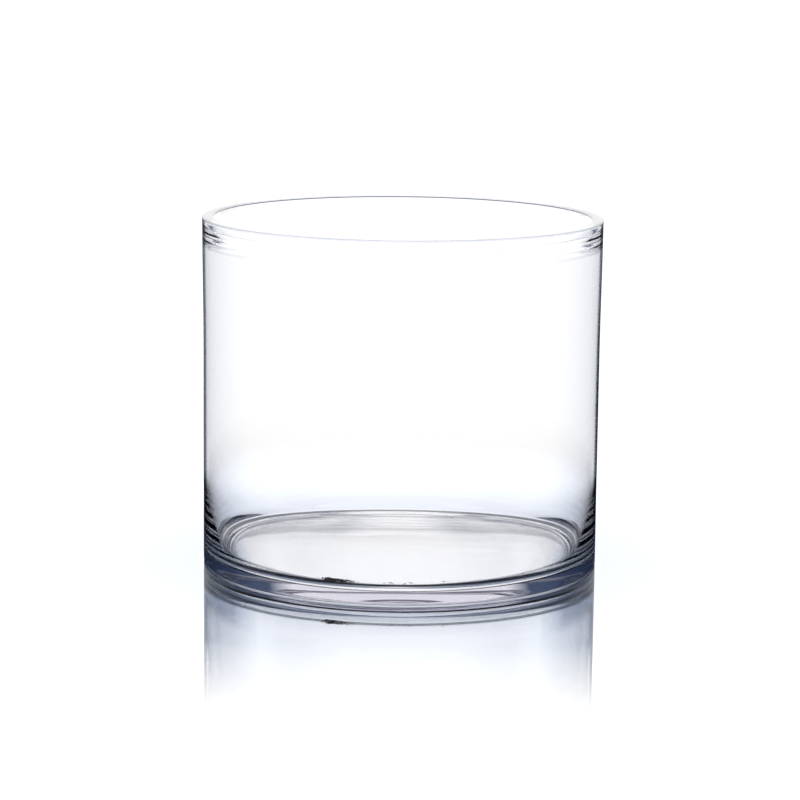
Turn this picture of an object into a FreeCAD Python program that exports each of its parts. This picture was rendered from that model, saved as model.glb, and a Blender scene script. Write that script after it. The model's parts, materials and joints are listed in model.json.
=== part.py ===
import FreeCAD, Part
import math
import os
import Sketcher

# Glass cylinder vase, modelled as the single piece of glass that it is.
#
# Frame: millimetres, +Z up, origin at the centre of the plane that the vase stands on.
# The outside wall is a plain cylinder. Inside, the glass is thinnest at mid-height: it
# thickens at the top into a broad flat lip, and downwards into a heavy heel that rounds
# into the floor.

# Every driving dimension, in millimetres: alias, value, what it measures.
DIMENSIONS = (
    ("outer_diameter", 203.2, "outside diameter, the same at every height"),
    ("overall_height", 179.0, "from the standing plane to the top of the lip"),
    ("lip_width", 5.8, "width of the polished lip, seen from above"),
    ("lip_edge_radius", 0.8, "rounding of the lip's two edges"),
    ("lip_land", 1.2, "straight height inside the lip before the glass starts to thin"),
    ("lip_blend_height", 14.0, "height over which the lip thins to the wall"),
    ("wall_thickness", 2.6, "wall at mid-height, where it is thinnest"),
    ("heel_taper_top", 48.0, "height below which the wall thickens towards the base"),
    ("heel_taper_radius", 300.0, "radius of the long arc that thickens the wall"),
    ("corner_radius", 10.0, "inner corner between the wall and the floor"),
    ("floor_thickness", 5.0, "from the standing plane to the inside floor"),
    ("heel_radius", 1.4, "rounding of the outside bottom edge"),
    ("standing_ring_width", 8.0, "from the outside wall in to the hollow of the underside"),
    ("underside_rise", 1.2, "depth of the underside's hollow at its centre"),
)

# Radii that several sketches share, as spreadsheet formulas.
OUTER_RADIUS = "dimensions.outer_diameter / 2"
LIP_INNER_RADIUS = "dimensions.outer_diameter / 2 - dimensions.lip_width"
WALL_INNER_RADIUS = "dimensions.outer_diameter / 2 - dimensions.wall_thickness"
HOLLOW_RADIUS = "dimensions.outer_diameter / 2 - dimensions.standing_ring_width"

# Sketcher's numbers for the two ends of an edge, its centre, the origin and the two axes.
START = 1
END = 2
CENTRE = 3
ORIGIN = (-1, 1)
ACROSS_AXIS = -1
UPRIGHT_AXIS = -2

FULL_TURN = 360.0
LENGTH_TOLERANCE = 1e-4

doc = FreeCAD.newDocument("glass_cylinder_vase")


def make_sheet():
    """Write the driving dimensions to a spreadsheet, one named cell each."""
    sheet = doc.addObject("Spreadsheet::Sheet", "dimensions")
    for row, (alias, value, meaning) in enumerate(DIMENSIONS, start=1):
        sheet.set(f"A{row}", alias)
        sheet.set(f"B{row}", str(value))
        sheet.set(f"C{row}", meaning)
        sheet.setAlias(f"B{row}", alias)
    doc.recompute()
    return sheet


def origin_feature(body, role):
    """Find a plane or an axis of the body's own origin."""
    for feature in body.Origin.OriginFeatures:
        if feature.Role == role:
            return feature
    raise RuntimeError(f"{body.Label} has no {role}")


def new_sketch(body, name):
    """Open a half section on the body's XZ plane: across is the radius, up is the height."""
    sketch = body.newObject("Sketcher::SketchObject", name)
    sketch.AttachmentSupport = [(origin_feature(body, "XZ_Plane"), "")]
    sketch.MapMode = "FlatFace"
    return sketch


def add_line(sketch, start, end):
    first = FreeCAD.Vector(start[0], start[1], 0)
    last = FreeCAD.Vector(end[0], end[1], 0)
    return sketch.addGeometry(Part.LineSegment(first, last), False)


def add_arc(sketch, centre, radius, first_angle, last_angle):
    """Add an arc that runs counterclockwise between two angles in radians."""
    middle = FreeCAD.Vector(centre[0], centre[1], 0)
    circle = Part.Circle(middle, FreeCAD.Vector(0, 0, 1), radius)
    return sketch.addGeometry(Part.ArcOfCircle(circle, first_angle, last_angle), False)


def constrain(sketch, *details):
    return sketch.addConstraint(Sketcher.Constraint(*details))


def dimension(sketch, name, formula, kind, *places):
    """Add a named dimension at its drawn value, then bind it to the spreadsheet."""
    index = constrain(sketch, kind, *places)
    sketch.renameConstraint(index, name)
    sketch.setExpression(f"Constraints.{name}", formula)


def close_on_axis(sketch, first, last, axis_edge):
    """Join an outline's two free ends with an edge that lies on the axis of the vase."""
    constrain(sketch, "Coincident", last, END, axis_edge, START)
    constrain(sketch, "Coincident", axis_edge, END, first, START)
    constrain(sketch, "PointOnObject", axis_edge, START, UPRIGHT_AXIS)
    constrain(sketch, "PointOnObject", axis_edge, END, UPRIGHT_AXIS)


def turn_profile(body, kind, name, sketch):
    """Turn a half section once round the Z axis, to add glass or to remove it."""
    feature = body.newObject(kind, name)
    feature.Profile = sketch
    feature.ReferenceAxis = (origin_feature(body, "Z_Axis"), [""])
    feature.Angle = FULL_TURN
    doc.recompute()
    return feature


def make_blank(body, sheet):
    """The outside of the glass, still solid: a cylinder that stands on the origin plane."""
    radius = sheet.outer_diameter / 2
    height = sheet.overall_height
    sketch = new_sketch(body, "blank_outline")
    base = add_line(sketch, (0, 0), (radius, 0))
    wall = add_line(sketch, (radius, 0), (radius, height))
    top = add_line(sketch, (radius, height), (0, height))
    axis = add_line(sketch, (0, height), (0, 0))
    constrain(sketch, "Coincident", base, END, wall, START)
    constrain(sketch, "Coincident", wall, END, top, START)
    close_on_axis(sketch, base, top, axis)
    constrain(sketch, "Horizontal", base)
    constrain(sketch, "Vertical", wall)
    constrain(sketch, "Horizontal", top)
    constrain(sketch, "PointOnObject", base, START, ACROSS_AXIS)
    dimension(sketch, "radius", OUTER_RADIUS, "DistanceX", *ORIGIN, wall, START, radius)
    dimension(sketch, "height", "dimensions.overall_height", "DistanceY", wall, START, wall, END, height)
    return turn_profile(body, "PartDesign::Revolution", "glass_blank", sketch)


def cut_cavity(body, sheet):
    """The inside: lip bore, blend to the wall, wall, thickening heel, corner and floor."""
    top = sheet.overall_height
    floor = sheet.floor_thickness
    lip_radius = sheet.outer_diameter / 2 - sheet.lip_width
    wall_radius = sheet.outer_diameter / 2 - sheet.wall_thickness
    blend_top = top - sheet.lip_land
    blend_bottom = blend_top - sheet.lip_blend_height
    taper_top = sheet.heel_taper_top

    # The lip thins to the wall in two equal arcs that bend opposite ways.
    blend_turn = 2 * math.atan((wall_radius - lip_radius) / sheet.lip_blend_height)
    blend_radius = sheet.lip_blend_height / (2 * math.sin(blend_turn))

    # The long arc of the heel leans in until it meets the corner's arc.
    taper_centre = wall_radius - sheet.heel_taper_radius
    corner_height = floor + sheet.corner_radius
    centre_gap = sheet.heel_taper_radius - sheet.corner_radius
    lean = math.asin((taper_top - corner_height) / centre_gap)
    floor_radius = taper_centre + centre_gap * math.cos(lean)

    sketch = new_sketch(body, "cavity_outline")
    mouth = add_line(sketch, (0, top), (lip_radius, top))
    land = add_line(sketch, (lip_radius, top), (lip_radius, blend_top))
    lip_arc = add_arc(sketch, (lip_radius + blend_radius, blend_top), blend_radius,
                      math.pi, math.pi + blend_turn)
    wall_arc = add_arc(sketch, (wall_radius - blend_radius, blend_bottom), blend_radius,
                       0, blend_turn)
    wall = add_line(sketch, (wall_radius, blend_bottom), (wall_radius, taper_top))
    taper = add_arc(sketch, (taper_centre, taper_top), sheet.heel_taper_radius, -lean, 0)
    corner = add_arc(sketch, (floor_radius, corner_height), sheet.corner_radius,
                     -math.pi / 2, -lean)
    ground = add_line(sketch, (floor_radius, floor), (0, floor))
    axis = add_line(sketch, (0, floor), (0, top))

    constrain(sketch, "Coincident", mouth, END, land, START)
    constrain(sketch, "Tangent", land, END, lip_arc, START)
    constrain(sketch, "Tangent", lip_arc, END, wall_arc, END)
    constrain(sketch, "Tangent", wall_arc, START, wall, START)
    constrain(sketch, "Tangent", wall, END, taper, END)
    constrain(sketch, "Tangent", taper, START, corner, END)
    constrain(sketch, "Tangent", corner, START, ground, START)
    close_on_axis(sketch, mouth, ground, axis)
    constrain(sketch, "Horizontal", mouth)
    constrain(sketch, "Vertical", land)
    constrain(sketch, "Vertical", wall)
    constrain(sketch, "Horizontal", ground)
    constrain(sketch, "Equal", lip_arc, wall_arc)

    dimension(sketch, "top", "dimensions.overall_height", "DistanceY", *ORIGIN, land, START, top)
    dimension(sketch, "lip_bore", LIP_INNER_RADIUS, "DistanceX", *ORIGIN, land, START, lip_radius)
    dimension(sketch, "land", "dimensions.lip_land", "DistanceY", land, END, land, START,
              sheet.lip_land)
    dimension(sketch, "blend", "dimensions.lip_blend_height", "DistanceY", wall, START, land, END,
              sheet.lip_blend_height)
    dimension(sketch, "wall_bore", WALL_INNER_RADIUS, "DistanceX", *ORIGIN, wall, END, wall_radius)
    dimension(sketch, "taper_top", "dimensions.heel_taper_top", "DistanceY", *ORIGIN, wall, END,
              taper_top)
    dimension(sketch, "taper", "dimensions.heel_taper_radius", "Radius", taper,
              sheet.heel_taper_radius)
    dimension(sketch, "corner", "dimensions.corner_radius", "Radius", corner, sheet.corner_radius)
    dimension(sketch, "floor", "dimensions.floor_thickness", "DistanceY", *ORIGIN, ground, END, floor)
    return turn_profile(body, "PartDesign::Groove", "cavity", sketch)


def hollow_underside(body, sheet):
    """A shallow dish under the base, so that the vase stands steady on a flat ring."""
    rise = sheet.underside_rise
    reach = sheet.outer_diameter / 2 - sheet.standing_ring_width
    dish_radius = (reach ** 2 + rise ** 2) / (2 * rise)
    dish_turn = math.asin(reach / dish_radius)
    upright = math.pi / 2

    sketch = new_sketch(body, "underside_outline")
    flat = add_line(sketch, (0, 0), (reach, 0))
    dish = add_arc(sketch, (0, rise - dish_radius), dish_radius, upright - dish_turn, upright)
    axis = add_line(sketch, (0, rise), (0, 0))
    constrain(sketch, "Coincident", flat, END, dish, START)
    close_on_axis(sketch, flat, dish, axis)
    constrain(sketch, "Horizontal", flat)
    constrain(sketch, "PointOnObject", flat, START, ACROSS_AXIS)
    constrain(sketch, "PointOnObject", dish, CENTRE, UPRIGHT_AXIS)
    dimension(sketch, "reach", HOLLOW_RADIUS, "DistanceX", *ORIGIN, flat, END, reach)
    dimension(sketch, "rise", "dimensions.underside_rise", "DistanceY", *ORIGIN, dish, END, rise)
    return turn_profile(body, "PartDesign::Groove", "underside_hollow", sketch)


def round_edges(body, name, circles, formula):
    """Round the circular edges of the last feature that have these radii and heights."""
    before = body.Tip
    names = []
    for index, edge in enumerate(before.Shape.Edges, start=1):
        if edge.Degenerated or not isinstance(edge.Curve, Part.Circle):
            continue
        centre = edge.Curve.Center
        for radius, height in circles:
            same_radius = abs(edge.Curve.Radius - radius) < LENGTH_TOLERANCE
            same_height = abs(centre.z - height) < LENGTH_TOLERANCE
            if same_radius and same_height:
                names.append(f"Edge{index}")
    if len(names) != len(circles):
        raise RuntimeError(f"{name} found {len(names)} edges, not {len(circles)}")
    fillet = body.newObject("PartDesign::Fillet", name)
    fillet.Base = (before, names)
    fillet.setExpression("Radius", formula)
    doc.recompute()
    return fillet


def make_vase(sheet):
    """Build the vase's one body, and check that each step added or removed glass."""
    body = doc.addObject("PartDesign::Body", "glass_vase")
    body.Label = "glass_vase"
    body.Placement = FreeCAD.Placement()
    outer_radius = sheet.outer_diameter / 2
    lip_radius = outer_radius - sheet.lip_width
    top = sheet.overall_height

    blank = make_blank(body, sheet)
    cavity = cut_cavity(body, sheet)
    underside = hollow_underside(body, sheet)
    lip = round_edges(body, "lip_edges", ((outer_radius, top), (lip_radius, top)),
                      "dimensions.lip_edge_radius")
    heel = round_edges(body, "heel_edge", ((outer_radius, 0),), "dimensions.heel_radius")

    steps = (blank, cavity, underside, lip, heel)
    for earlier, later in zip(steps, steps[1:]):
        if later.Shape.Volume >= earlier.Shape.Volume:
            raise RuntimeError(f"{later.Label} removed nothing")
    return body


def check_document():
    """Stop if any object failed to build, or any sketch is not fully defined."""
    for item in doc.Objects:
        if "Invalid" in item.State or "Error" in item.State:
            raise RuntimeError(f"{item.Label} failed: {item.State}")
        if item.TypeId == "Sketcher::SketchObject" and not item.FullyConstrained:
            raise RuntimeError(f"{item.Label} is not fully constrained")


def write_step(body):
    """Write a sub-part's solid to the file that its label names."""
    shape = body.Shape
    if shape.isNull() or not shape.isValid() or len(shape.Solids) != 1:
        raise RuntimeError(f"{body.Label} is not one valid solid")
    shape.exportStep(f"parts/{body.Label}.step")
    cubic_cm = shape.Volume / 1000
    print(f"{body.Label}: {cubic_cm:.1f} cm3, {shape.BoundBox}")


sheet = make_sheet()
vase = make_vase(sheet)
doc.recompute()
check_document()
os.makedirs("parts", exist_ok=True)
write_step(vase)
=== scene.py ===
import json
import math
import random

import bmesh
import bpy
from mathutils import Matrix, Vector, noise


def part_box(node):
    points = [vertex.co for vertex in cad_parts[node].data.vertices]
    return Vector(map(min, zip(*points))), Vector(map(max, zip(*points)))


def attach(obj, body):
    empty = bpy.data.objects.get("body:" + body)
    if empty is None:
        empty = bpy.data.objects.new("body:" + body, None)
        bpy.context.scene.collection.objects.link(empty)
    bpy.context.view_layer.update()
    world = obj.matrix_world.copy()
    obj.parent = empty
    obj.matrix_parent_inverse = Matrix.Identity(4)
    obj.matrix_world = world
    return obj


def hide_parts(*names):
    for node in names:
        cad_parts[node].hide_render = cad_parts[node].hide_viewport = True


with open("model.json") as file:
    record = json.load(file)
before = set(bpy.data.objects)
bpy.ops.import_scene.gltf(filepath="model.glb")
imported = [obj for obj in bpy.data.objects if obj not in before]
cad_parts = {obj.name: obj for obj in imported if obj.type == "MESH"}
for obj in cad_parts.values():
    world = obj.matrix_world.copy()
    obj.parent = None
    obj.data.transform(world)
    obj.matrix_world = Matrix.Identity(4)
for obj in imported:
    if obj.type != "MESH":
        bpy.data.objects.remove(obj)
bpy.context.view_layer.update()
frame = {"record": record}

# The looks of a glass cylinder vase: its glass, the grit in its corner, the table and the light.
# Metres, +Z up, origin where the vase stands, as in the frame.

MM = 0.001
NODE = "glass_vase"
BODY = "root"


def mount_position(name):
    """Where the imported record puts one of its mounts."""
    for mount in frame["record"]["mounts"]:
        if mount["name"] == name:
            return Vector(mount["pos_m"])
    raise KeyError(name)


node_low, node_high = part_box(NODE)
RADIUS = (node_high.x - node_low.x) / 2
HEIGHT = node_high.z
FLOOR_TOP = mount_position("floor_face").z

# ---------------------------------------------------------------- section of the glass

LIP_WIDTH = 5.8 * MM
LIP_EDGE = 0.8 * MM
LIP_LAND = 1.2 * MM
LIP_BLEND = 14.0 * MM
WALL = 2.6 * MM
TAPER_TOP = 48.0 * MM
TAPER_RADIUS = 300.0 * MM
CORNER = 10.0 * MM
HEEL = 1.4 * MM
RING_WIDTH = 8.0 * MM
UNDERSIDE_RISE = 1.2 * MM
QUARTER_TURN = math.pi / 2

# The centres of the taper's long arc and the corner's short one, and the wall's lean where they meet.
TAPER_CENTRE = RADIUS - WALL - TAPER_RADIUS
CORNER_HEIGHT = FLOOR_TOP + CORNER
LEAN = math.asin((TAPER_TOP - CORNER_HEIGHT) / (TAPER_RADIUS - CORNER))
FLOOR_RADIUS = TAPER_CENTRE + (TAPER_RADIUS - CORNER) * math.cos(LEAN)

# How finely each stretch of the section is cut.
DISH_STEPS = 24
RING_STEPS = 4
HEEL_STEPS = 10
OUTSIDE_STEPS = 70
LIP_EDGE_STEPS = 6
LAND_STEPS = 2
BLEND_STEPS = 10
INSIDE_STEPS = 36
TAPER_STEPS = 24
CORNER_STEPS = 20
FLOOR_STEPS = 24


def arc(centre, radius, start, end, steps):
    """Points on an arc of the half section, angles in radians from the outward direction."""
    points = []
    for step in range(steps + 1):
        angle = start + (end - start) * step / steps
        points.append((centre[0] + radius * math.cos(angle), centre[1] + radius * math.sin(angle)))
    return points


def straight(start, end, steps):
    """Points on a straight run of the half section, without its first."""
    points = []
    for step in range(1, steps + 1):
        share = step / steps
        points.append((start[0] + (end[0] - start[0]) * share, start[1] + (end[1] - start[1]) * share))
    return points


def outside_section():
    """From near the middle of the underside, round the heel and up to the lip's outer edge."""
    ring = RADIUS - RING_WIDTH
    dish = (ring ** 2 + UNDERSIDE_RISE ** 2) / (2 * UNDERSIDE_RISE)
    half_turn = math.asin(ring / dish)
    points = arc((0, UNDERSIDE_RISE - dish), dish, QUARTER_TURN, QUARTER_TURN - half_turn, DISH_STEPS)[1:]
    points += straight((ring, 0), (RADIUS - HEEL, 0), RING_STEPS)[:-1]
    points += arc((RADIUS - HEEL, HEEL), HEEL, -QUARTER_TURN, 0, HEEL_STEPS)
    points += straight((RADIUS, HEEL), (RADIUS, HEIGHT - LIP_EDGE), OUTSIDE_STEPS)[:-1]
    points += arc((RADIUS - LIP_EDGE, HEIGHT - LIP_EDGE), LIP_EDGE, 0, QUARTER_TURN, LIP_EDGE_STEPS)
    return points


def inside_section():
    """From the lip's inner edge down the wall, round the corner and in near the middle of the floor."""
    lip = RADIUS - LIP_WIDTH
    wall = RADIUS - WALL
    blend_top = HEIGHT - LIP_LAND
    blend_bottom = blend_top - LIP_BLEND
    blend_turn = 2 * math.atan((wall - lip) / LIP_BLEND)
    blend_radius = LIP_BLEND / (2 * math.sin(blend_turn))

    points = arc((lip + LIP_EDGE, HEIGHT - LIP_EDGE), LIP_EDGE, QUARTER_TURN, math.pi, LIP_EDGE_STEPS)
    points += straight((lip, HEIGHT - LIP_EDGE), (lip, blend_top), LAND_STEPS)[:-1]
    points += arc((lip + blend_radius, blend_top), blend_radius, math.pi, math.pi + blend_turn,
                  BLEND_STEPS)
    points += arc((wall - blend_radius, blend_bottom), blend_radius, blend_turn, 0, BLEND_STEPS)[1:]
    points += straight((wall, blend_bottom), (wall, TAPER_TOP), INSIDE_STEPS)
    points += arc((TAPER_CENTRE, TAPER_TOP), TAPER_RADIUS, 0, -LEAN, TAPER_STEPS)[1:]
    points += arc((FLOOR_RADIUS, CORNER_HEIGHT), CORNER, -LEAN, -QUARTER_TURN, CORNER_STEPS)[1:]
    points += straight((FLOOR_RADIUS, FLOOR_TOP), (0, FLOOR_TOP), FLOOR_STEPS)[:-1]
    return points


def corner_radius_at(height):
    """Radius of the corner's inside face at a height between the floor and the wall's taper."""
    return FLOOR_RADIUS + math.sqrt(CORNER ** 2 - (CORNER_HEIGHT - height) ** 2)


# ---------------------------------------------------------------- shape of the glass

SEGMENTS = 420
# A point further out and higher than this is on the wall, not on the floor or the underside.
WALL_ZONE_RADIUS = RADIUS - 2 * RING_WIDTH
WALL_ZONE_HEIGHT = 2 * HEEL
FLARE = 0.6 * MM
FLARE_START = 110 * MM
# Slow and quick unevenness: how tightly the noise is packed, how far it is moved so that no two
# share a pattern, and how far it swings the glass.
SLOW_SCALE = 12
SLOW_LIFT_INSIDE = 7
SLOW_SWING_INSIDE = 0.16 * MM
SLOW_SWING_OUTSIDE = 0.05 * MM
QUICK_SCALE = (26, 80, 90)
QUICK_LIFT = 3
QUICK_SWING = 0.08 * MM
QUICK_TOP = 30 * MM
# The floor swings less than the wall, by this share.
FLOOR_SWING = 0.5


def flare_at(height):
    """How far the glass leans out at this height: the mouth is a little wider than the body."""
    rise = max(0.0, (height - FLARE_START) / (HEIGHT - FLARE_START))
    return FLARE * rise * rise * (3 - 2 * rise)


def ripple_at(place, inside):
    """Unevenness of the glass: the inside swings more than the outside, and most low down."""
    slow = place * SLOW_SCALE + Vector((0, 0, SLOW_LIFT_INSIDE if inside else 0))
    swing = noise.noise(slow) * (SLOW_SWING_INSIDE if inside else SLOW_SWING_OUTSIDE)
    if inside:
        low = max(0.0, 1 - place.z / QUICK_TOP)
        quick = Vector(a * b for a, b in zip(place, QUICK_SCALE)) + Vector((0, 0, QUICK_LIFT))
        swing += noise.noise(quick) * QUICK_SWING * low
    return swing


def glass_point(radius, height, inside, angle):
    """Where a point of the half section goes at this angle round the vase."""
    swing = ripple_at(Vector((radius * math.cos(angle), radius * math.sin(angle), height)), inside)
    on_wall = radius > WALL_ZONE_RADIUS and height > WALL_ZONE_HEIGHT
    reach = radius
    rise = height
    if on_wall and height < HEIGHT - LIP_LAND:
        reach += flare_at(height) + swing
    elif on_wall:
        reach += flare_at(height)
    elif inside:
        rise += swing * FLOOR_SWING
    return (reach * math.cos(angle), reach * math.sin(angle), rise)


def make_vase():
    """Turn the half section into one closed mesh."""
    outside = outside_section()
    section = [(point, False) for point in outside] + [(point, True) for point in inside_section()]
    mesh = bpy.data.meshes.new("glass_vase_body")
    build = bmesh.new()
    underside = build.verts.new((0, 0, UNDERSIDE_RISE))
    ground = build.verts.new((0, 0, FLOOR_TOP))
    rings = []
    for (radius, height), inside in section:
        ring = []
        for segment in range(SEGMENTS):
            angle = 2 * math.pi * segment / SEGMENTS
            ring.append(build.verts.new(glass_point(radius, height, inside, angle)))
        rings.append(ring)
    for segment in range(SEGMENTS):
        following = (segment + 1) % SEGMENTS
        build.faces.new((underside, rings[0][following], rings[0][segment]))
        build.faces.new((ground, rings[-1][segment], rings[-1][following]))
        for inner, outer in zip(rings, rings[1:]):
            build.faces.new((inner[segment], inner[following], outer[following], outer[segment]))
    for face in build.faces:
        face.smooth = True
    bmesh.ops.recalc_face_normals(build, faces=build.faces)
    build.to_mesh(mesh)
    build.free()
    return link_piece("glass_vase_body", mesh)


def link_piece(name, mesh):
    """Put a mesh into the scene as an object."""
    piece = bpy.data.objects.new(name, mesh)
    bpy.context.collection.objects.link(piece)
    return piece


# ---------------------------------------------------------------- grit

GRIT_SEED = 11
GRIT_LOW = 9.7 * MM
GRIT_HIGH = 11.4 * MM
FRONT = -90
# How grains vary, as shares: stretched, their corners pulled, and small or large for their clump.
GRAIN_STRETCH_ACROSS = (0.6, 1.5)
GRAIN_STRETCH_UP = (0.5, 1.0)
GRAIN_PULL = (0.7, 1.3)
GRAIN_SIZES = (0.5, 1.25)
# How far a grain's middle stays off the glass, as a share of the clump's grain size.
GRAIN_INSET = 0.7
# Clumps round the corner: degrees from the front towards +X, spread in degrees (two standard
# deviations), how many grains, grain size in mm.
GRIT_CLUMPS = (
    (-20.0, 2.2, 70, 0.44), (-17.0, 3.0, 60, 0.36), (-13.5, 2.0, 22, 0.26),
    (-2.0, 2.0, 10, 0.26), (3.0, 2.5, 12, 0.24), (12.0, 6.0, 12, 0.20),
    (34.0, 12.0, 18, 0.20), (52.0, 4.0, 8, 0.22), (-52.0, 12.0, 16, 0.22),
)


def add_grain(build, place, size, rng):
    """One rough grain, a squashed ball with pulled corners."""
    made = bmesh.ops.create_icosphere(build, subdivisions=1, radius=size)
    stretch = Vector((rng.uniform(*GRAIN_STRETCH_ACROSS), rng.uniform(*GRAIN_STRETCH_ACROSS),
                      rng.uniform(*GRAIN_STRETCH_UP)))
    turn = Matrix.Rotation(rng.uniform(0, math.pi), 3, "Z")
    for vert in made["verts"]:
        pulled = vert.co * rng.uniform(*GRAIN_PULL)
        shaped = Vector(a * b for a, b in zip(pulled, stretch))
        vert.co = turn @ shaped + place


def make_grit():
    """Dark grains that lie in the inside corner, mostly at the front."""
    rng = random.Random(GRIT_SEED)
    mesh = bpy.data.meshes.new("corner_grit")
    build = bmesh.new()
    for middle, spread, count, size in GRIT_CLUMPS:
        for _ in range(count):
            angle = math.radians(middle + rng.gauss(0, spread / 2) + FRONT)
            height = rng.uniform(GRIT_LOW, GRIT_HIGH)
            reach = corner_radius_at(height) - size * MM * GRAIN_INSET
            place = Vector((reach * math.cos(angle), reach * math.sin(angle), height))
            add_grain(build, place, size * MM * rng.uniform(*GRAIN_SIZES), rng)
    build.to_mesh(mesh)
    build.free()
    return link_piece("corner_grit", mesh)


# ---------------------------------------------------------------- materials


class Tree:
    """Short way to add and join the nodes of one material or world."""

    def __init__(self, owner):
        owner.use_nodes = True
        self.nodes = owner.node_tree.nodes
        self.links = owner.node_tree.links
        self.nodes.clear()

    def add(self, kind, **settings):
        """A new node with these settings."""
        node = self.nodes.new(kind)
        for key, value in settings.items():
            setattr(node, key, value)
        return node

    def join(self, source, target):
        """A link from an output socket to an input socket."""
        self.links.new(source, target)

    def math(self, operation, first, second=None):
        """A math node fed by sockets or plain numbers."""
        node = self.add("ShaderNodeMath", operation=operation)
        for socket, value in zip(node.inputs, (first, second)):
            if value is None:
                continue
            if isinstance(value, (int, float)):
                socket.default_value = value
            else:
                self.join(value, socket)
        return node.outputs["Value"]

    def ramp(self, value, stops):
        """A colour ramp fed by a socket."""
        node = self.add("ShaderNodeValToRGB")
        elements = node.color_ramp.elements
        while len(elements) < len(stops):
            elements.new(1.0)
        for element, (position, colour) in zip(elements, stops):
            element.position = position
            element.color = (*colour, 1)
        self.join(value, node.inputs["Fac"])
        return node.outputs["Color"]

    def spread(self, value, low, high, to_low, to_high):
        """A map range fed by a socket."""
        node = self.add("ShaderNodeMapRange")
        node.inputs["From Min"].default_value = low
        node.inputs["From Max"].default_value = high
        node.inputs["To Min"].default_value = to_low
        node.inputs["To Max"].default_value = to_high
        self.join(value, node.inputs["Value"])
        return node.outputs["Result"]

    def noise(self, vector, scale, detail):
        """A noise texture over object coordinates stretched by scale."""
        mapping = self.add("ShaderNodeMapping")
        mapping.inputs["Scale"].default_value = scale
        self.join(vector, mapping.inputs["Vector"])
        texture = self.add("ShaderNodeTexNoise")
        texture.inputs["Scale"].default_value = 1.0
        texture.inputs["Detail"].default_value = detail
        self.join(mapping.outputs["Vector"], texture.inputs["Vector"])
        return texture.outputs["Fac"]


GLASS_IOR = 1.52
GLASS_TINT = (0.52, 0.50, 0.60)
GLASS_DENSITY = 6.0
# Painted shade on top of the glass's own refraction, by how edge-on its outside is seen:
# a grey-blue painted shade, then a painted dark outline. Each stop is Layer Weight's Facing and a colour.
WALL_PAINTED_SHADE = (
    (0.37, (1.0, 1.0, 1.0)),
    (0.46, (0.95, 0.96, 0.99)),
    (0.53, (0.915, 0.93, 0.975)),
    (0.60, (0.885, 0.905, 0.965)),
    (0.78, (0.87, 0.90, 0.965)),
    (0.82, (0.78, 0.82, 0.90)),
    (0.85, (0.06, 0.07, 0.11)),
)
# The thick heel gets the same painted shade, sooner and deeper.
HEEL_PAINTED_SHADE = (
    (0.33, (1.0, 1.0, 1.0)),
    (0.42, (0.56, 0.61, 0.72)),
    (0.49, (0.22, 0.26, 0.35)),
    (0.66, (0.13, 0.17, 0.26)),
    (0.84, (0.16, 0.21, 0.31)),
)
# How much of the heel's painted shade shows, by height in metres.
HEEL_SHADE_SHARE = ((0.017, (1.0, 1.0, 1.0)), (0.024, (0.30, 0.30, 0.30)), (0.065, (0.0, 0.0, 0.0)))
# The ring that the vase stands on is ground, not polished.
GROUND_ROUGHNESS = 0.30
# Painted shade on the lip: its face and a painted dark line along its outer edge, both by Facing,
# and a painted dark line along its inner edge.
LIP_OUTER_SHADE_LINE = ((0.35, (0.66, 0.68, 0.76)), (0.60, (0.20, 0.23, 0.32)), (0.80, (0.01, 0.015, 0.03)))
LIP_INNER_SHADE_LINE = (0.01, 0.015, 0.03)
LIP_FACE_SHADE = ((0.50, (0.86, 0.88, 0.93)), (0.74, (0.16, 0.18, 0.23)))
LIP_LINE_WIDTH = 0.8 * MM
# Glass this near the outside radius counts as the outside face.
OUTER_FACE = 0.7 * MM
FACING_BLEND = 0.5
# Where Blender's Mix node keeps its two colour inputs and its colour output.
MIX_COLOUR_INPUTS = (6, 7)
MIX_COLOUR_OUTPUT = 2


def mix_colour(tree, share, first, second):
    """Blend of two colours, each a socket or plain numbers."""
    node = tree.add("ShaderNodeMix", data_type="RGBA")
    tree.join(share, node.inputs["Factor"])
    for index, colour in zip(MIX_COLOUR_INPUTS, (first, second)):
        socket = node.inputs[index]
        if isinstance(colour, tuple):
            socket.default_value = (*colour, 1)
        else:
            tree.join(colour, socket)
    return node.outputs[MIX_COLOUR_OUTPUT]


def surface_place(tree):
    """How far a point of the glass is from the vase's axis, and how high."""
    split = tree.add("ShaderNodeSeparateXYZ")
    tree.join(tree.add("ShaderNodeTexCoord").outputs["Object"], split.inputs["Vector"])
    flat = tree.add("ShaderNodeCombineXYZ")
    tree.join(split.outputs["X"], flat.inputs["X"])
    tree.join(split.outputs["Y"], flat.inputs["Y"])
    length = tree.add("ShaderNodeVectorMath", operation="LENGTH")
    tree.join(flat.outputs["Vector"], length.inputs[0])
    return length.outputs["Value"], split.outputs["Z"]


def wall_painted_shade(tree, across, height, facing):
    """The outside face's edge-on painted shade, deeper in the heel."""
    outer_face = tree.math("GREATER_THAN", across, RADIUS - OUTER_FACE)
    edge = tree.math("MULTIPLY", facing, outer_face)
    low = tree.ramp(height, HEEL_SHADE_SHARE)
    return mix_colour(tree, low, tree.ramp(edge, WALL_PAINTED_SHADE), tree.ramp(edge, HEEL_PAINTED_SHADE))


def lip_painted_shade(tree, across, facing):
    """The lip's face in painted shade with a painted dark line along each of its edges."""
    outer_line = tree.math("GREATER_THAN", across, RADIUS - LIP_LINE_WIDTH)
    inner_line = tree.math("LESS_THAN", across, RADIUS - LIP_WIDTH + LIP_LINE_WIDTH)
    lip = mix_colour(tree, outer_line, tree.ramp(facing, LIP_FACE_SHADE), tree.ramp(facing, LIP_OUTER_SHADE_LINE))
    return mix_colour(tree, inner_line, lip, LIP_INNER_SHADE_LINE)


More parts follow.
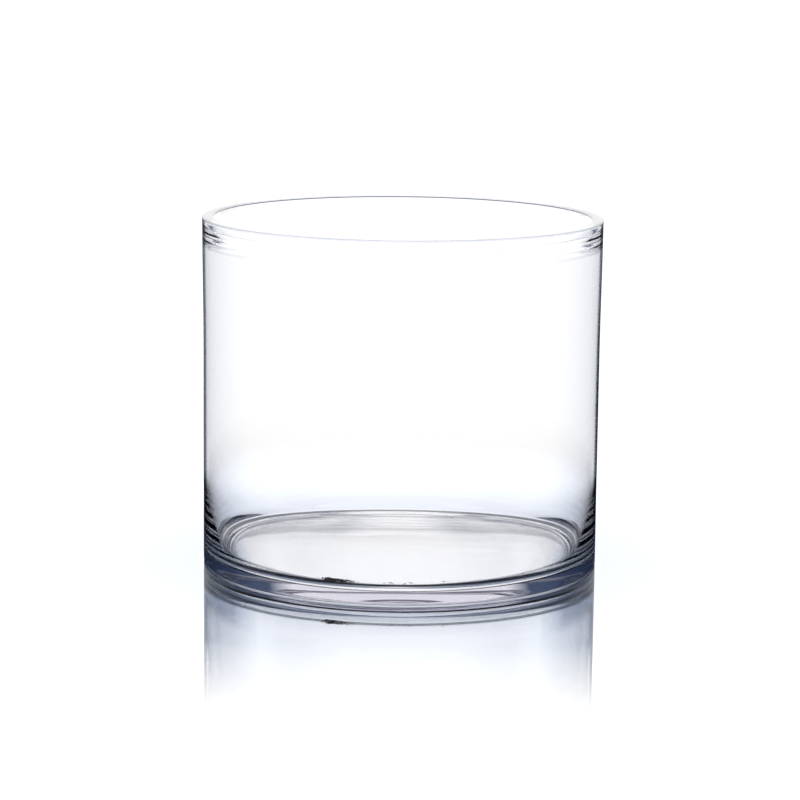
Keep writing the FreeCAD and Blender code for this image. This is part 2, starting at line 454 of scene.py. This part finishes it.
def glass_material():
    """Clear soda glass with painted shade in its colour: edge-on, deeper on the thick heel, and as fine
    dark lines round the polished lip.
    """
    material = bpy.data.materials.new("clear_glass")
    tree = Tree(material)
    output = tree.add("ShaderNodeOutputMaterial")
    shader = tree.add("ShaderNodeBsdfPrincipled")
    shader.inputs["Roughness"].default_value = 0.0
    shader.inputs["IOR"].default_value = GLASS_IOR
    shader.inputs["Transmission Weight"].default_value = 1.0
    volume = tree.add("ShaderNodeVolumeAbsorption")
    volume.inputs["Color"].default_value = (*GLASS_TINT, 1)
    volume.inputs["Density"].default_value = GLASS_DENSITY
    tree.join(shader.outputs["BSDF"], output.inputs["Surface"])
    tree.join(volume.outputs["Volume"], output.inputs["Volume"])

    across, height = surface_place(tree)
    weight = tree.add("ShaderNodeLayerWeight")
    weight.inputs["Blend"].default_value = FACING_BLEND
    facing = weight.outputs["Facing"]
    # The base colour holds painted shade: edge-on darkening of wall and heel, and dark lines on the lip.
    on_lip = tree.math("GREATER_THAN", height, HEIGHT - LIP_EDGE)
    wall = wall_painted_shade(tree, across, height, facing)
    painted_shade = mix_colour(tree, on_lip, wall, lip_painted_shade(tree, across, facing))
    tree.join(painted_shade, shader.inputs["Base Color"])

    on_ring = tree.math("GREATER_THAN", across, RADIUS - RING_WIDTH)
    ground = tree.spread(height, HEEL / 2, HEEL, GROUND_ROUGHNESS, 0.0)
    tree.join(tree.math("MULTIPLY", on_ring, ground), shader.inputs["Roughness"])
    return material


GRIT_ROUGHNESS = 0.85
GRIT_MOTTLE_SCALE = (900, 900, 900)
GRIT_MOTTLE_DETAIL = 3
GRIT_COLOURS = ((0.35, (0.003, 0.002, 0.002)), (0.7, (0.03, 0.013, 0.006)))


def grit_material():
    """Dull, near black and dark brown in fine mottles."""
    material = bpy.data.materials.new("dark_grit")
    tree = Tree(material)
    output = tree.add("ShaderNodeOutputMaterial")
    shader = tree.add("ShaderNodeBsdfPrincipled")
    shader.inputs["Roughness"].default_value = GRIT_ROUGHNESS
    place = tree.add("ShaderNodeTexCoord").outputs["Object"]
    mottle = tree.noise(place, GRIT_MOTTLE_SCALE, GRIT_MOTTLE_DETAIL)
    tree.join(tree.ramp(mottle, GRIT_COLOURS), shader.inputs["Base Color"])
    tree.join(shader.outputs["BSDF"], output.inputs["Surface"])
    return material


# ---------------------------------------------------------------- table, backdrop and light

WHITE = (1, 1, 1)
DARK = (0.075, 0.105, 0.17)
SIDE = (0.55, 0.60, 0.68)

TABLE_RADIUS = 9.0
TABLE_GLOW = 1.12
# How much of a mirror each table is: in full within MIRROR_FULL, fading out at MIRROR_END.
WHITE_MIRROR = 1.0
DARK_MIRROR = 0.0
MIRROR_FULL = 0.190
MIRROR_END = 0.305
# The mirror's tint, which sets how strongly it mirrors and is darkest just outside the vase's foot as a
# painted shadow, and the tables' own glow, each by distance in metres from under the vase's middle.
MIRROR_TINT_AND_SHADOW = (
    (0.095, (0.84, 0.85, 0.88)),
    (0.104, (0.57, 0.60, 0.67)),
    (0.140, (0.61, 0.64, 0.70)),
    (0.165, (0.68, 0.71, 0.77)),
    (0.210, (0.76, 0.79, 0.84)),
)
WHITE_TABLE = ((0.0, WHITE), (1.0, WHITE))
DARK_TABLE = ((0.15, (0.003, 0.004, 0.007)), (0.35, (0.010, 0.012, 0.018)), (0.80, (0.04, 0.047, 0.06)))
DARK_TABLE_DROP = 0.1 * MM

BACKDROP_GLOW = 1.65
BACKDROP_GLOW_TWICE_MIRRORED = 0.55
MIRRORED_ONCE = 1.0
MIRRORED_TWICE = 2.0
BACKDROP_RADIUS = 9.2
BACKDROP_HEIGHT = 6.0
BACKDROP_SINK = 0.5
ROUND_SEGMENTS = 96

LIGHT = 1.38
# The light turns dark towards straight overhead, by how far up a direction points.
CEILING_LOW = 0.97
CEILING_HIGH = 0.999
HALF_TURN_DEGREES = 180
# The light's colour in degrees from straight behind the vase, the same on both sides.
STUDIO = (
    (0, WHITE), (22, WHITE), (29, DARK), (79, DARK), (83, SIDE),
    (97, SIDE), (101, DARK), (118, DARK), (150, WHITE),
)


def table_material(name, glow_stops, mirror_share):
    """A glow coloured by distance, and close to the vase a tinted mirror of the given share, its tint
    darkened round the vase as a painted shadow.
    """
    material = bpy.data.materials.new(name)
    tree = Tree(material)
    output = tree.add("ShaderNodeOutputMaterial")
    mix = tree.add("ShaderNodeMixShader")
    glow = tree.add("ShaderNodeEmission")
    glow.inputs["Strength"].default_value = TABLE_GLOW
    gloss = tree.add("ShaderNodeBsdfGlossy")
    gloss.inputs["Roughness"].default_value = 0.0
    place = tree.add("ShaderNodeTexCoord").outputs["Object"]
    length = tree.add("ShaderNodeVectorMath", operation="LENGTH")
    tree.join(place, length.inputs[0])
    share = tree.spread(length.outputs["Value"], MIRROR_FULL, MIRROR_END, mirror_share, 0.0)
    tree.join(tree.ramp(length.outputs["Value"], glow_stops), glow.inputs["Color"])
    # The mirror's tint holds a painted shadow round the vase's foot.
    tree.join(tree.ramp(length.outputs["Value"], MIRROR_TINT_AND_SHADOW), gloss.inputs["Color"])
    tree.join(share, mix.inputs["Fac"])
    tree.join(glow.outputs["Emission"], mix.inputs[1])
    tree.join(gloss.outputs["BSDF"], mix.inputs[2])
    tree.join(mix.outputs["Shader"], output.inputs["Surface"])
    return material


def glow_material(name, colour, strength, strength_twice_mirrored):
    """A plain glow, fainter for a ray that was mirrored twice or more on its way here."""
    material = bpy.data.materials.new(name)
    tree = Tree(material)
    output = tree.add("ShaderNodeOutputMaterial")
    glow = tree.add("ShaderNodeEmission")
    glow.inputs["Color"].default_value = (*colour, 1)
    path = tree.add("ShaderNodeLightPath")
    faded = tree.spread(path.outputs["Glossy Depth"], MIRRORED_ONCE, MIRRORED_TWICE,
                        strength, strength_twice_mirrored)
    tree.join(faded, glow.inputs["Strength"])
    tree.join(glow.outputs["Emission"], output.inputs["Surface"])
    return material


def make_disc(name, material):
    """A flat round table top that belongs to the stage."""
    mesh = bpy.data.meshes.new(name)
    build = bmesh.new()
    bmesh.ops.create_circle(build, cap_ends=True, radius=TABLE_RADIUS, segments=ROUND_SEGMENTS)
    build.to_mesh(mesh)
    build.free()
    disc = link_piece(name, mesh)
    disc.data.materials.append(material)
    return disc


def make_table():
    """A white table, and just under it a dark one that only reflected rays see."""
    white = make_disc("table", table_material("white_table", WHITE_TABLE, WHITE_MIRROR))
    white.visible_glossy = False
    white.visible_diffuse = False
    dark = make_disc("table_in_reflections", table_material("dark_table", DARK_TABLE, DARK_MIRROR))
    dark.location.z = -DARK_TABLE_DROP
    dark.visible_camera = False
    dark.visible_transmission = False
    dark.visible_diffuse = False


def make_backdrop():
    """A white drum round everything, seen directly and in reflections, not through the glass."""
    mesh = bpy.data.meshes.new("backdrop")
    build = bmesh.new()
    bmesh.ops.create_cone(build, cap_ends=True, segments=ROUND_SEGMENTS,
                          radius1=BACKDROP_RADIUS, radius2=BACKDROP_RADIUS, depth=BACKDROP_HEIGHT)
    build.to_mesh(mesh)
    build.free()
    backdrop = link_piece("backdrop", mesh)
    backdrop.location.z = BACKDROP_HEIGHT / 2 - BACKDROP_SINK
    white = glow_material("backdrop_white", WHITE, BACKDROP_GLOW, BACKDROP_GLOW_TWICE_MIRRORED)
    backdrop.data.materials.append(white)
    backdrop.visible_transmission = False
    backdrop.visible_diffuse = False


def make_world():
    """What shows through the glass and lights the grit: bright ahead and behind, dim to the sides."""
    world = bpy.data.worlds.new("studio")
    bpy.context.scene.world = world
    tree = Tree(world)
    output = tree.add("ShaderNodeOutputWorld")
    studio = tree.add("ShaderNodeBackground")
    studio.inputs["Strength"].default_value = LIGHT
    place = tree.add("ShaderNodeTexCoord").outputs["Generated"]
    split = tree.add("ShaderNodeSeparateXYZ")
    tree.join(place, split.inputs["Vector"])
    width = tree.math("ABSOLUTE", split.outputs["X"])
    turn = tree.math("DIVIDE", tree.math("ARCTAN2", width, split.outputs["Y"]), math.pi)
    windows = tree.ramp(turn, [(at / HALF_TURN_DEGREES, colour) for at, colour in STUDIO])
    overhead = tree.spread(split.outputs["Z"], CEILING_LOW, CEILING_HIGH, 0.0, 1.0)
    tree.join(mix_colour(tree, overhead, windows, DARK), studio.inputs["Color"])
    tree.join(studio.outputs["Background"], output.inputs["Surface"])


# ---------------------------------------------------------------- camera

CAMERA_BACK = 14.69 * RADIUS
CAMERA_UP = 3.472 * RADIUS
CAMERA_SIDE = -0.0051 * RADIUS
CAMERA_DOWN = math.radians(10.216)
CAMERA_ROLL = math.radians(0.599)
SENSOR = 36.0
LENS = 132.3
CLIP_START = 0.05
CLIP_END = 50


def make_camera():
    """The photo's view: in front of the vase, looking a little down, tilted a touch."""
    data = bpy.data.cameras.new("camera")
    data.sensor_width = SENSOR
    data.lens = LENS
    data.clip_start = CLIP_START
    data.clip_end = CLIP_END
    camera = bpy.data.objects.new("camera", data)
    bpy.context.collection.objects.link(camera)
    forward = Vector((0, math.cos(CAMERA_DOWN), -math.sin(CAMERA_DOWN)))
    level_up = Vector((0, math.sin(CAMERA_DOWN), math.cos(CAMERA_DOWN)))
    level_right = Vector((1, 0, 0))
    right = level_right * math.cos(CAMERA_ROLL) + level_up * math.sin(CAMERA_ROLL)
    up = level_up * math.cos(CAMERA_ROLL) - level_right * math.sin(CAMERA_ROLL)
    camera.matrix_world = Matrix((
        (right.x, up.x, -forward.x, CAMERA_SIDE),
        (right.y, up.y, -forward.y, -CAMERA_BACK),
        (right.z, up.z, -forward.z, CAMERA_UP),
        (0, 0, 0, 1),
    ))
    bpy.context.scene.camera = camera


# ---------------------------------------------------------------- put together

MOST_BOUNCES = 32
MOST_GLOSSY_BOUNCES = 16


def set_render_look():
    """Plain white stays white, and light gets through many faces of glass."""
    scene = bpy.context.scene
    scene.view_settings.view_transform = "Standard"
    scene.cycles.max_bounces = MOST_BOUNCES
    scene.cycles.transmission_bounces = MOST_BOUNCES
    scene.cycles.glossy_bounces = MOST_GLOSSY_BOUNCES


make_camera()
set_render_look()
make_world()
make_table()
make_backdrop()

vase = make_vase()
vase.data.materials.append(glass_material())
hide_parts(NODE)
grit = make_grit()
grit.data.materials.append(grit_material())
for piece in (vase, grit):
    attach(piece, BODY)
